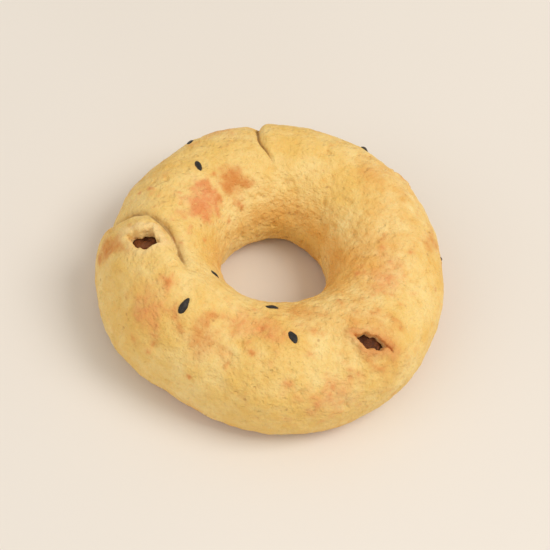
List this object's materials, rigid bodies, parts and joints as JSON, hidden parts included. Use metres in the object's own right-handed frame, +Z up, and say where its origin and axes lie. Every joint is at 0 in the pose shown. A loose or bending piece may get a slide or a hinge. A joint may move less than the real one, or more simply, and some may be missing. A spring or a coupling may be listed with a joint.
{
  "type": "date-filled cookie",
  "caption": "Ring-shaped baked cookie: a pale dough rope with lapped ends and black seeds, split in places over a date paste filling, flat underneath.",
  "frame": {"origin": "centre of the bounding box's bottom, on the plane of the flat baked base, in the middle of the ring", "axes": "+Z up along the ring's axis; +Y towards the fold across the dough, which the picture shows farthest from the viewer; -X towards the lapped end; +X to the viewer's right"},
  "size_m": [0.0504, 0.0506, 0.017],
  "materials": {
    "dough": "matt baked shortcrust, pale golden with toasted patches",
    "date_paste": "sticky dark brown date paste",
    "seed": "dull black seed"
  },
  "bodies": {
    "root": {"dough": "dough", "date_filling": "date_paste"}
  },
  "joints": []
}
